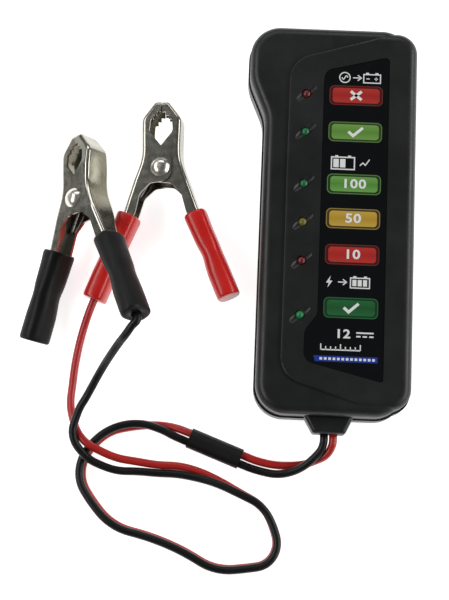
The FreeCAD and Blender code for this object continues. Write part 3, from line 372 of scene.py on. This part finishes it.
NODE_MATERIALS = {
    "front_cover": case_plastic, "rear_cover": case_plastic, "faceplate_label": label_film,
    "led_legs": tinned, "solder_joints": tinned, "circuit_board": solder_mask,
    "comparator_chips": chip_epoxy, "chip_pins": tinned, "resistors": lacquer,
    "reference_diode": glass_bead, "polarity_diode": diode_epoxy,
    "filter_capacitor": capacitor_sleeve, "case_screws": zinc, "board_screws": zinc,
    "cable_tie": nylon, "black_lead_stub": black_lead_vinyl, "red_lead_stub": red_lead_vinyl,
    "stub_conductors": copper, "inline_sleeve": shrink_tube,
    "black_lead": black_lead_vinyl, "red_lead": red_lead_vinyl,
    **LENSES,
}
for colour in ("red", "black"):
    vinyl = red_grip_vinyl if colour == "red" else black_grip_vinyl
    NODE_MATERIALS.update({
        f"{colour}_fixed_jaw": nickel, f"{colour}_moving_jaw": nickel,
        f"{colour}_rivet": rivet_nickel, f"{colour}_spring": spring_steel,
        f"{colour}_fixed_grip": vinyl, f"{colour}_moving_grip": vinyl,
        f"{colour}_conductor": copper, f"{colour}_crimp": tinned,
    })


def dress_cad_nodes():
    """Every CAD node gets its material and soft shading across its curved faces."""
    for name, piece in frame["nodes"].items():
        mesh = piece.data
        mesh.materials.clear()
        mesh.materials.append(NODE_MATERIALS[name])
        for face in mesh.polygons:
            face.material_index = 0
            face.use_smooth = True


# ---------------------------------------------------------------- label print

LABEL_TOP = node_box("faceplate_label")[1].z
# thickness of the ink, and the distance in metres within which its points are merged
INK = 0.05
WELD = 0.002 * MM


def rounded_rectangle(x0, y0, x1, y1, radius, steps=8):
    """Outline points of a rectangle with rounded corners, counter-clockwise."""
    points = []
    for cx, cy, start in ((x1 - radius, y1 - radius, 0), (x0 + radius, y1 - radius, 90),
                          (x0 + radius, y0 + radius, 180), (x1 - radius, y0 + radius, 270)):
        for step in range(steps + 1):
            turn = math.radians(start + 90 * step / steps)
            points.append((cx + radius * math.cos(turn), cy + radius * math.sin(turn)))
    return points


def stroke(points, width, closed=False):
    """Outline of a thick pen line through the points, as quads joined at their corners."""
    count = len(points)
    left, right = [], []
    for index, point in enumerate(points):
        here = Vector(point)
        back = Vector(points[index - 1]) if index > 0 or closed else None
        ahead = Vector(points[(index + 1) % count]) if index < count - 1 or closed else None
        before = (here - back).normalized() if back is not None else (ahead - here).normalized()
        after = (ahead - here).normalized() if ahead is not None else before
        along = (before + after).normalized()
        normal = Vector((-along.y, along.x))
        reach = width / 2 / max(0.35, along.dot(after))
        left.append(here + normal * reach)
        right.append(here - normal * reach)
    last = count if closed else count - 1
    return [[left[index], right[index], right[(index + 1) % count], left[(index + 1) % count]]
            for index in range(last)]


class Print:
    """Thin raised ink of one colour, gathered from flat shapes into one mesh."""

    def __init__(self, name, material, base, thick=INK):
        self.name, self.material, self.base, self.thick = name, material, base, thick
        self.shape = bmesh.new()

    def fill(self, outline):
        low, high = self.base, self.base + self.thick
        top = [self.shape.verts.new(Vector((x, y, high)) * MM) for x, y in outline]
        foot = [self.shape.verts.new(Vector((x, y, low)) * MM) for x, y in outline]
        self.shape.faces.new(top)
        self.shape.faces.new(list(reversed(foot)))
        for index in range(len(outline)):
            after = (index + 1) % len(outline)
            self.shape.faces.new((top[index], foot[index], foot[after], top[after]))

    def line(self, points, width, closed=False):
        for quad in stroke(points, width, closed):
            self.fill(quad)

    def ring(self, outline, inner):
        """The band between two outlines with the same number of points."""
        count = len(outline)
        for index in range(count):
            after = (index + 1) % count
            self.fill([outline[index], outline[after], inner[after], inner[index]])

    def finish(self):
        bmesh.ops.remove_doubles(self.shape, verts=self.shape.verts, dist=WELD)
        bmesh.ops.recalc_face_normals(self.shape, faces=self.shape.faces)
        mesh = bpy.data.meshes.new(self.name)
        self.shape.to_mesh(mesh)
        self.shape.free()
        piece = bpy.data.objects.new(self.name, mesh)
        bpy.context.scene.collection.objects.link(piece)
        return dress(piece, self.material, "tester")


def arc_points(cx, cy, radius, start, end, steps=24):
    return [(cx + radius * math.cos(math.radians(start + (end - start) * step / steps)),
             cy + radius * math.sin(math.radians(start + (end - start) * step / steps)))
            for step in range(steps + 1)]


def numerals(name, text, x, y, height, material, base):
    """Bold, wide figures centred on a point, turned into a thin solid."""
    curve = bpy.data.curves.new(name, "FONT")
    curve.body = text
    curve.size = height * 1.38 * MM
    curve.offset = height * 0.035 * MM
    curve.extrude = INK / 2 * MM
    curve.resolution_u = 3
    curve.space_character = 1.08
    curve.align_x, curve.align_y = "CENTER", "CENTER"
    words = bpy.data.objects.new(f"{name}_curve", curve)
    bpy.context.scene.collection.objects.link(words)
    words.scale = (1.2, 1, 1)
    words.location = Vector((x, y, base + INK / 2)) * MM
    bpy.context.view_layer.update()
    depsgraph = bpy.context.evaluated_depsgraph_get()
    mesh = bpy.data.meshes.new_from_object(words.evaluated_get(depsgraph))
    mesh.transform(words.matrix_world)
    mesh.name = name
    bpy.data.objects.remove(words)
    piece = bpy.data.objects.new(name, mesh)
    bpy.context.scene.collection.objects.link(piece)
    shape = bmesh.new()
    shape.from_mesh(mesh)
    bmesh.ops.remove_doubles(shape, verts=shape.verts, dist=WELD)
    shape.to_mesh(mesh)
    shape.free()
    return dress(piece, material, "tester")


white_ink = printed_ink("white_ink", (0.78, 0.8, 0.78))
blue_ink = printed_ink("blue_ink", (0.01, 0.035, 0.30))
PILL_X = 4.8
PILL_WIDTH, PILL_HEIGHT, PILL_CORNER = 17.8, 6.8, 1.7
FILL_WIDTH, FILL_HEIGHT, FILL_CORNER = 15.7, 5.1, 1.15
# width of a pill's outline, and the corner radius at its inner edge
EDGE, EDGE_CORNER = 0.31, 1.42
SYMBOL_PEN, PEN, THIN_PEN = 0.95, 0.36, 0.34
# name, height on the label, fill, lighter fill, dark surround, thin outline
PILLS = [
    ("alternator_fault", 41.5, (0.36, 0.012, 0.012), (0.46, 0.03, 0.02),
     (0.035, 0.003, 0.003), (0.16, 0.015, 0.012)),
    ("alternator_good", 28.9, (0.10, 0.25, 0.035), (0.16, 0.34, 0.07),
     (0.02, 0.045, 0.008), (0.11, 0.2, 0.05)),
    ("battery_full", 11.0, (0.08, 0.25, 0.03), (0.15, 0.36, 0.08),
     (0.008, 0.03, 0.006), (0.10, 0.22, 0.05)),
    ("battery_middle", -0.7, (0.46, 0.27, 0.02), (0.55, 0.36, 0.06),
     (0.05, 0.032, 0.003), (0.28, 0.2, 0.05)),
    ("battery_low", -12.8, (0.40, 0.014, 0.012), (0.48, 0.03, 0.02),
     (0.03, 0.003, 0.003), (0.17, 0.015, 0.012)),
    ("ready", -30.5, (0.008, 0.085, 0.02), (0.012, 0.13, 0.035),
     (0.004, 0.03, 0.01), (0.02, 0.13, 0.04)),
]


def centred(x, y, width, height, radius):
    return rounded_rectangle(x - width / 2, y - height / 2, x + width / 2, y + height / 2, radius)


def print_pills():
    for name, y, fill, light, dark, edge in PILLS:
        surround_ink = printed_ink(f"ink_{name}_dark", dark)
        plate = Print(f"pill_{name}_surround", surround_ink, LABEL_TOP, INK * 0.6)
        plate.fill(centred(PILL_X, y, PILL_WIDTH, PILL_HEIGHT, PILL_CORNER))
        plate.finish()
        outline = Print(f"pill_{name}_outline", printed_ink(f"ink_{name}_edge", edge),
                        LABEL_TOP + INK * 0.6, INK * 0.4)
        outline.ring(centred(PILL_X, y, PILL_WIDTH, PILL_HEIGHT, PILL_CORNER),
                     centred(PILL_X, y, PILL_WIDTH - 2 * EDGE, PILL_HEIGHT - 2 * EDGE, EDGE_CORNER))
        outline.finish()
        low, high = y - FILL_HEIGHT / 2, y + FILL_HEIGHT / 2
        fill_ink = printed_ink(f"ink_{name}_fill", fill, light, low, high)
        body = Print(f"pill_{name}_fill", fill_ink, LABEL_TOP + INK * 0.6)
        body.fill(centred(PILL_X, y, FILL_WIDTH, FILL_HEIGHT, FILL_CORNER))
        body.finish()


def print_symbols():
    """Cross, ticks and charge numbers on the pills."""
    base = LABEL_TOP + INK * 1.6
    marks = Print("symbol_marks", white_ink, base)
    cross_y = PILLS[0][1]
    arm = 1.45
    left, right = PILL_X - arm * 1.25, PILL_X + arm * 1.25
    marks.line([(left, cross_y - arm), (right, cross_y + arm)], SYMBOL_PEN)
    marks.line([(left, cross_y + arm), (right, cross_y - arm)], SYMBOL_PEN)
    for y in (PILLS[1][1], PILLS[5][1]):
        tick = [(PILL_X - 2.3, y + 0.05), (PILL_X - 0.7, y - 1.35), (PILL_X + 2.5, y + 1.5)]
        marks.line(tick, SYMBOL_PEN)
    marks.finish()
    for (name, y, *_), text in zip(PILLS[2:5], ("100", "50", "10")):
        numerals(f"numerals_{name}", text, PILL_X, y, 3.1, white_ink, base)


def battery_icon(ink, x, y, width, height, bars, pen=0.38):
    """Battery outline with two terminals on top and charge bars inside."""
    low, high = y - height / 2, y + height / 2 - 0.5
    left, right = x - width / 2, x + width / 2
    ink.line([(left, low), (right, low), (right, high), (left, high)], pen, closed=True)
    for post in (left + width * 0.22, right - width * 0.22):
        ink.fill([(post - 0.5, high + pen / 2), (post + 0.5, high + pen / 2),
                  (post + 0.5, high + 0.62), (post - 0.5, high + 0.62)])
    room = (width - 1.0) / 3
    for bar in range(bars):
        start = left + 0.62 + bar * room
        ink.fill([(start, low + 0.6), (start + room - 0.42, low + 0.6),
                  (start + room - 0.42, high - 0.6), (start, high - 0.6)])


def print_legends():
    """Line drawings above the groups: alternator, battery, charger, and the 12-volt line."""
    base = LABEL_TOP
    icons = Print("legend_icons", white_ink, base)
    # alternator: a ring with one wave, an arrow, a battery
    y = 47.7
    icons.line(arc_points(0.9, y, 1.75, 0, 345), PEN, closed=True)
    wave = [(0.9 + step * 0.25, y + 0.62 * math.sin(step * math.pi / 4)) for step in range(-4, 5)]
    icons.line(wave, THIN_PEN)
    icons.line([(3.6, y), (6.1, y)], PEN)
    icons.line([(5.2, y + 0.95), (6.4, y), (5.2, y - 0.95)], PEN)
    battery_icon(icons, 10.0, y + 0.1, 5.6, 3.4, 0)
    icons.line([(8.1, y - 0.2), (9.2, y - 0.2)], THIN_PEN)
    icons.line([(10.8, y - 0.2), (11.9, y - 0.2)], THIN_PEN)
    icons.line([(11.35, y - 0.75), (11.35, y + 0.35)], THIN_PEN)
    # battery with charge bars
    battery_icon(icons, 1.0, 18.3, 7.6, 4.6, 2, 0.42)
    icons.line([(6.6, 17.4), (7.6, 18.4), (8.4, 17.6), (9.8, 19.6)], PEN)
    # charger: a bolt, an arrow, a battery
    y = -22.0
    icons.fill([(-2.0, y + 2.0), (-3.5, y - 0.35), (-2.5, y - 0.35)])
    icons.fill([(-3.0, y - 2.0), (-1.4, y + 0.35), (-2.4, y + 0.35)])
    icons.line([(0.4, y), (2.9, y)], PEN)
    icons.line([(2.0, y + 0.95), (3.2, y), (2.0, y - 0.95)], PEN)
    battery_icon(icons, 7.6, y + 0.1, 6.2, 3.8, 3)
    # direct-current sign beside the 12, and a tick scale below it
    y = -39.2
    icons.line([(6.8, y + 0.6), (12.4, y + 0.6)], 0.5)
    for start in (6.8, 8.9, 11.0):
        icons.line([(start, y - 0.6), (start + 1.4, y - 0.6)], 0.5)
    icons.line([(-4.6, -44.4), (8.2, -44.4)], 0.4)
    for step in range(9):
        tall = 1.9 if step % 4 == 0 else 1.1
        tick = -4.6 + 12.8 * step / 8
        icons.line([(tick, -44.4), (tick, -44.4 + tall)], PEN)
    icons.finish()
    numerals("numerals_twelve", "12", 2.4, -39.2, 2.9, white_ink, base)
    bar = Print("label_bar", blue_ink, base, INK * 0.6)
    bar.fill([(-6.4, -48.3), (13.9, -48.3), (13.9, -46.4), (-6.9, -46.4)])
    bar.finish()
    dashes = Print("label_bar_dashes", white_ink, base + INK * 0.6, INK * 0.5)
    for step in range(13):
        start = -4.9 + step * 1.42
        dashes.fill([(start, -47.75), (start + 0.86, -47.75),
                     (start + 0.86, -46.95), (start, -46.95)])
    dashes.finish()


# ---------------------------------------------------------------- clips

GRIP_LENGTH = 30.8
GRIP_SLOPE = math.radians(22.4)
GRIP_TOP = (11.2, -15.4)
# where along a grip the handle inside it ends, and how far the grip kinks there
HANDLE_END, KINK = 14.5, 0.3
# the side of the rivet on which the jaw that holds the lead lies
FIXED_SIDE = {"red": -1, "black": 1}


def clip_frame(colour):
    """Origin at the rivet and the clip's across, up and outward directions."""
    joint = joint_named(f"{colour}_jaw_pivot")
    up = Vector(mount_named(f"{colour}_clip_mouth")["axis"]).normalized()
    outward = Vector(joint["axis"]) * FIXED_SIDE[colour]
    outward = (outward - up * outward.dot(up)).normalized()
    return Vector(joint["pos_m"]) / MM, up.cross(outward), up, outward


def clip_point(colour, u, v, w):
    origin, across, up, outward = clip_frame(colour)
    return origin + across * u + up * v + outward * w


def grip_axes(colour, side):
    """Mouth centre of a grip and its sideways, depth and length directions."""
    _, across, up, outward = clip_frame(colour)
    down = across * (side * math.sin(GRIP_SLOPE)) - up * math.cos(GRIP_SLOPE)
    return clip_point(colour, side * GRIP_TOP[0], GRIP_TOP[1], 0), down.cross(outward), outward, down


def oval(half_width, half_depth, power, sides=48):
    """A rounded section between an ellipse (power 2) and a rectangle."""
    points = []
    for step in range(sides):
        turn = 2 * math.pi * (step + 0.5) / sides
        c, s = math.cos(turn), math.sin(turn)
        points.append((half_width * math.copysign(abs(c) ** (2 / power), c),
                       half_depth * math.copysign(abs(s) ** (2 / power), s)))
    return points


def grip(colour, side, body, node):
    """Dipped vinyl sleeve: soft lip at the mouth, slight swell, rounded end, hollow inside."""
    start, sideways, depth, down = grip_axes(colour, side)
    drilled = side == FIXED_SIDE[colour]
    # (distance from the mouth, half width, half depth, section power)
    outside = [(0.0, 3.35, 4.95, 3.0), (0.12, 3.62, 5.22, 3.0), (0.5, 3.82, 5.42, 3.0),
               (1.2, 3.87, 5.46, 3.0), (4.0, 3.76, 5.38, 2.9), (7.0, 3.7, 5.34, 2.8),
               (10.0, 3.66, 5.28, 2.7), (12.0, 3.6, 5.2, 2.6), (13.5, 3.5, 5.12, 2.4),
               (15.0, 3.44, 5.08, 2.3), (16.5, 3.52, 5.1, 2.3), (18.5, 3.7, 5.18, 2.4),
               (22.0, 3.86, 5.3, 2.6), (28.0, 3.88, 5.36, 2.6), (29.9, 3.86, 5.34, 2.6),
               (30.45, 3.72, 5.2, 2.6), (30.72, 3.45, 4.95, 2.6), (30.8, 3.0, 4.5, 2.6)]
    inside = [(0.0, 2.95, 4.35, 3.2), (0.3, 2.75, 4.12, 3.4), (1.0, 2.7, 4.0, 3.4),
              (15.4, 2.7, 4.0, 3.4)]

    def rings_of(table):
        rings = []
        for distance, half_width, half_depth, power in table:
            # the sleeve kinks where the handle inside it ends
            sag = KINK * math.exp(-((distance - HANDLE_END) / 4.5) ** 2) * side
            centre = start + down * distance - sideways * sag
            rings.append([centre + sideways * x + depth * y
                          for x, y in oval(half_width, half_depth, power)])
        return rings

    if drilled:
        tunnel = [(30.75, 1.85, 1.85, 2.0), (30.4, 1.5, 1.5, 2.0), (15.6, 1.5, 1.5, 2.0)]
        rings = rings_of(outside + tunnel + list(reversed(inside)))
        piece = ring_loft(f"{colour}_grip_fixed_sleeve", rings, wrap=True)
    else:
        rings = rings_of(list(reversed(inside)) + outside + [(30.82, 1.5, 2.2, 2.2)])
        piece = ring_loft(f"{colour}_grip_moving_sleeve", rings)
    vinyl = red_grip_vinyl if colour == "red" else black_grip_vinyl
    dress(piece, vinyl, body)
    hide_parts(node)
    return piece


# radii of the coil and of its wire, the coil's height and its turns
SPRING_RADIUS, SPRING_WIRE, SPRING_HEIGHT, SPRING_TURNS = 2.9, 0.5, 4.0, 3
SPRING_FOOT = (8.5, -8.5)


def spring(colour):
    """Torsion spring: two arms that leave the coil at a tangent, wound round the rivet."""
    reach = math.hypot(*SPRING_FOOT)
    leave = math.atan2(SPRING_FOOT[1], SPRING_FOOT[0]) + math.acos(SPRING_RADIUS / reach)
    sweep = SPRING_TURNS * 2 * math.pi + (math.pi - 2 * leave)
    climb = SPRING_HEIGHT / sweep
    rise = climb * math.sqrt(reach ** 2 - SPRING_RADIUS ** 2) / SPRING_RADIUS
    half = SPRING_HEIGHT / 2
    steps, arm_steps = 150, 12
    first_foot = Vector((-SPRING_FOOT[0], SPRING_FOOT[1], -half - rise))
    last_foot = Vector((SPRING_FOOT[0], SPRING_FOOT[1], half + rise))
    coil = []
    for step in range(steps + 1):
        turn = math.pi - leave - sweep * step / steps
        coil.append(Vector((SPRING_RADIUS * math.cos(turn), SPRING_RADIUS * math.sin(turn),
                            -half + SPRING_HEIGHT * step / steps)))
    line = [first_foot.lerp(coil[0], step / arm_steps) for step in range(arm_steps)]
    line += coil
    line += [coil[-1].lerp(last_foot, step / arm_steps) for step in range(1, arm_steps + 1)]
    placed = [clip_point(colour, *point) for point in line]
    piece = tube(f"{colour}_spring_coil", placed, SPRING_WIRE, 12)
    piece.data.materials.append(spring_steel)
    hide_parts(f"{colour}_spring")
    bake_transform(piece)
    return piece


# ---------------------------------------------------------------- leads

LEAD_RADIUS = 1.35
LEAD_LIFT = 1.55
HALF_SPACING = 1.5
# points along each of the two arcs between neighbouring points of a route
ARC_STEPS = 7
# up from where the CAD leads start, the tails start just inside the outlet and bend from its mouth
TAIL_START, BEND_START = 2.9, 1.8
# x, y and height of the pair's middle (None: it lies on the table), then the angle at which
# the red lead lies from the pair's left-hand side
TWIN_ROUTE = [(-0.55, -72.8, 9.0, 0),
              (-1.2, -75.5, 8.0, -20), (-5.6, -79.6, 5.6, -80), (-14.0, -82.6, 4.0, -150),
              (-25.2, -81.2, 3.4, -180), (-28.0, -80.2, 3.4, -180), (-47.3, -73.0, 3.4, -180),
              (-50.1, -72.0, 3.3, -165), (-55.8, -70.3, 3.1, -120), (-62.0, -69.7, None, -85),
              (-75.5, -74.2, None, -80), (-81.6, -84.5, None, -78), (-74.5, -98.9, None, -78),
              (-52.0, -108.3, None, -80), (-30.0, -115.7, None, -81), (-17.0, -110.5, None, -84),
              (-18.9, -98.6, None, -90), (-33.0, -89.0, None, -108), (-46.5, -84.6, None, -150)]
# the stretch of the route inside the splice sleeve
SPLICE_IN = 5
# where each lead goes alone, from the end of the pair to its clip
OWN_ROUTES = {
    "red": [(-59.5, -82.4, 3.4), (-73.4, -79.9, 6.6), (-81.5, -75.2, 7.4), (-85.4, -67.2, 5.6),
            (-85.9, -54.5, 2.6), (-84.2, -41.5, 2.4)],
    "black": [(-59.3, -85.3, 3.4), (-72.9, -84.4, 6.5), (-80.0, -80.9, 7.9), (-84.2, -74.8, 9.2),
              (-82.9, -67.2, 10.9), (-79.6, -61.0, 13.0), (-75.3, -53.8, 18.5),
              (-70.2, -47.3, 27.0), (-65.6, -42.0, 33.4)],
}


def twin_points(side):
    """Middle line of one lead while the two run together; side is 1 for red, -1 for black."""
    points = []
    for index, (x, y, height, turn) in enumerate(TWIN_ROUTE):
        ahead = TWIN_ROUTE[min(index + 1, len(TWIN_ROUTE) - 1)]
        behind = TWIN_ROUTE[max(index - 1, 0)]
        along = Vector((ahead[0] - behind[0], ahead[1] - behind[1], 0)).normalized()
        left = Vector((-along.y, along.x, 0)) if index else Vector((1, 0, 0))
        angle = math.radians(turn)
        if height is None:
            height = LEAD_LIFT + HALF_SPACING * abs(math.sin(angle))
        offset = left * math.cos(angle) + Vector((0, 0, 1)) * math.sin(angle)
        points.append(Vector((x, y, height)) + offset * (HALF_SPACING * side))
    return points


def lead(colour):
    """A tail that bends between the case and the splice, and the run from there to the clip."""
    start, _, _, down = grip_axes(colour, FIXED_SIDE[colour])
    # 1 mm outside the grip's end, at it, and 13 mm inside
    inlet = [start + down * (GRIP_LENGTH - depth) for depth in (-1, 0, 13)]
    own = [Vector(point) for point in OWN_ROUTES[colour]]
    points = twin_points(1 if colour == "red" else -1) + own + inlet
    line = smooth_line(points, Vector((0, -1, 0)), -down, ARC_STEPS)
    vinyl = red_lead_vinyl if colour == "red" else black_lead_vinyl
    # the two pieces meet, unseen, in the middle of the splice sleeve
    entry = SPLICE_IN * ARC_STEPS * 2
    seam = entry + ARC_STEPS
    inner_end = line[0] + Vector((0, TAIL_START, 0))
    tail = tube(f"{colour}_lead_tail", [inner_end] + line[:seam + 1], LEAD_RADIUS)
    run = tube(f"{colour}_lead_run", line[seam:], LEAD_RADIUS)
    dress(run, vinyl, "cable")
    tail.data.materials.append(vinyl)
    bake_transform(tail)
    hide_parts(f"{colour}_lead")
    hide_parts(f"{colour}_lead")


# ---------------------------------------------------------------- stage, light and camera

def stage():
    pale = Shader("pale_floor", (0.92, 0.92, 0.92), 0.9)
    shades = [(0.3, (0.91, 0.91, 0.91)), (0.7, (0.93, 0.93, 0.93))]
    pale.drive("Base Color", pale.ramp(pale.noise(8, 2.0), shades))
    pale.set("Emission Color", (1, 1, 1, 1))
    pale.set("Emission Strength", 0.8)
    half = 1500.0
    steps = 24
    vertices = [(-half + 2 * half * i / steps, -half + 2 * half * j / steps, -0.05)
                for j in range(steps + 1) for i in range(steps + 1)]
    faces = [(j * (steps + 1) + i, j * (steps + 1) + i + 1, (j + 1) * (steps + 1) + i + 1,
              (j + 1) * (steps + 1) + i) for j in range(steps) for i in range(steps)]
    floor = mesh_object("floor", vertices, faces, smooth=False)
    floor.data.materials.append(pale.material)


def softbox(name, position, target, width, height, watts):
    light = bpy.data.lights.new(name, "AREA")
    light.shape = "RECTANGLE"
    light.size, light.size_y = width, height
    light.energy = watts
    lamp = bpy.data.objects.new(name, light)
    lamp.location = position
    lamp.rotation_euler = (Vector(target) - Vector(position)).to_track_quat("-Z", "Y").to_euler()
    bpy.context.scene.collection.objects.link(lamp)


def lights():
    middle = (-0.03, -0.02, 0.01)
    softbox("softbox_left", (-0.5, 0.0, 0.46), middle, 0.8, 0.24, 2.3)
    softbox("softbox_right", (0.5, 0.0, 0.3), middle, 0.8, 0.24, 2.6)
    softbox("softbox_head", (-0.1, 0.62, 0.5), middle, 0.6, 0.2, 1.1)
    world = bpy.data.worlds.new("studio")
    bpy.context.scene.world = world
    world.use_nodes = True
    world.node_tree.nodes["Background"].inputs["Color"].default_value = (0.82, 0.84, 0.86, 1)
    world.node_tree.nodes["Background"].inputs["Strength"].default_value = 0.14


def camera():
    """Nearly overhead, seen from 80 degrees above the tester's lower end, and rolled a little."""
    aim = Vector((-36.4, -28.1, 12.0))
    distance = 480.0
    elevation = math.radians(80)
    lean = Matrix.Rotation(math.radians(2.3), 3, "Z")
    back = lean @ Vector((0, -math.cos(elevation), math.sin(elevation)))
    right = lean @ Vector((1, 0, 0))
    data = bpy.data.cameras.new("camera")
    data.lens = 87.0
    data.sensor_width = 36.0
    data.clip_start = 0.01
    eye = bpy.data.objects.new("camera", data)
    turn = Matrix((right, back.cross(right), back)).transposed().to_4x4()
    eye.matrix_world = Matrix.Translation((aim + back * distance) * MM) @ turn
    bpy.context.scene.collection.objects.link(eye)
    bpy.context.scene.camera = eye


# ---------------------------------------------------------------- assembly

dress_cad_nodes()
print_pills()
print_symbols()
print_legends()
for colour, fixed in FIXED_SIDE.items():
    grip(colour, fixed, "cable", f"{colour}_fixed_grip")
    grip(colour, -fixed, f"{colour}_jaw", f"{colour}_moving_grip")
    spring(colour)
    lead(colour)
stage()
lights()
camera()
bpy.context.scene.view_settings.view_transform = "Standard"
